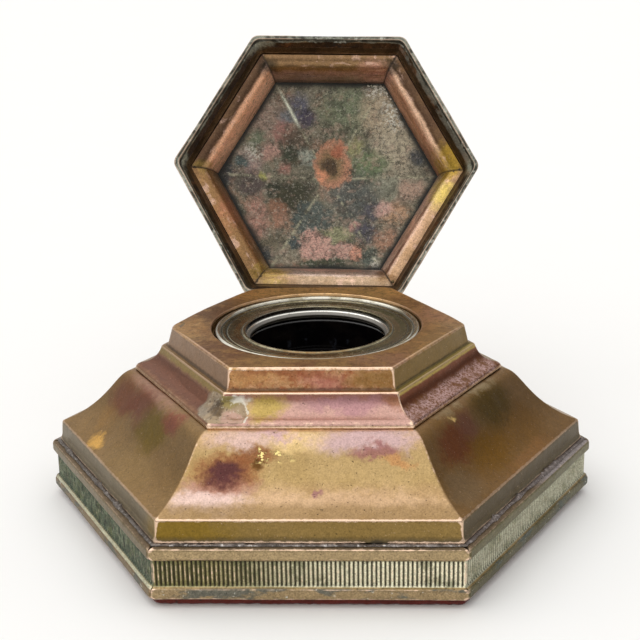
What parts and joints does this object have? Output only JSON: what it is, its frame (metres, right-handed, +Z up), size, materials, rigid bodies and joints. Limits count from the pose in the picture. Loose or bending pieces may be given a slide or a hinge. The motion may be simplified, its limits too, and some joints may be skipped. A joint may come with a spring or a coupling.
{
  "type": "hexagonal inkwell",
  "caption": "Hexagonal brass desk inkwell: reeded plinth, ogee body, lift-out glass ink liner in a nickel collar, and a hinged lid standing open.",
  "frame": {"origin": "middle of the felt's underside, on the surface the inkwell stands on", "axes": "+Z up; the front side of the hexagon faces -Y and the lid's hinge is at +Y; two corners of the hexagon lie on the X axis"},
  "size_m": [0.1598, 0.1656, 0.1255],
  "materials": {
    "felt": "worn dark red baize",
    "board": "bare softwood",
    "plinth_brass": "reeded, brown and verdigris patina, crests worn bright",
    "body_brass": "satin with brown, mauve and olive patina, edges worn bright",
    "ballast": "rough casting",
    "sleeve": "dull drawn sheet",
    "collar_nickel": "worn nickel plate",
    "cement": "plaster of Paris",
    "pot_glass": "clear pressed glass, ink stained inside",
    "lid_brass": "coppery patina with solder at the corners",
    "panel_brass": "mottled grey-green and salmon patina",
    "finial_brass": "turned, worn bright",
    "hinge_brass": "dull",
    "pin": "plain wire"
  },
  "bodies": {
    "base": {"felt_pad": "felt", "base_board": "board", "plinth_strip_front": "plinth_brass", "plinth_strip_right_front": "plinth_brass", "plinth_strip_right_back": "plinth_brass", "plinth_strip_back": "plinth_brass", "plinth_strip_left_back": "plinth_brass", "plinth_strip_left_front": "plinth_brass", "ballast_weight": "ballast", "well_sleeve": "sleeve", "slope_shell": "body_brass", "neck_shell": "body_brass", "hinge_leaf_body": "hinge_brass", "hinge_pin": "pin"},
    "lid": {"hinge_leaf_lid": "hinge_brass", "lid_rim": "lid_brass", "lid_cove_front": "lid_brass", "lid_cove_right_front": "lid_brass", "lid_cove_right_back": "lid_brass", "lid_cove_back": "lid_brass", "lid_cove_left_back": "lid_brass", "lid_cove_left_front": "lid_brass", "lid_panel": "panel_brass", "lid_finial": "finial_brass"},
    "liner": {"liner_collar": "collar_nickel", "collar_cement": "cement", "glass_pot": "pot_glass"}
  },
  "joints": [
    {"name": "lid_hinge", "type": "hinge", "parent": "base", "child": "lid", "pos_m": [0, 0.04522, 0.046], "axis": [-1, 0, 0], "range_deg": [-116, 0]},
    {"name": "liner_lift", "type": "slide", "parent": "base", "child": "liner", "axis": [0, 0, 1], "range_m": [0, 0.118]}
  ]
}
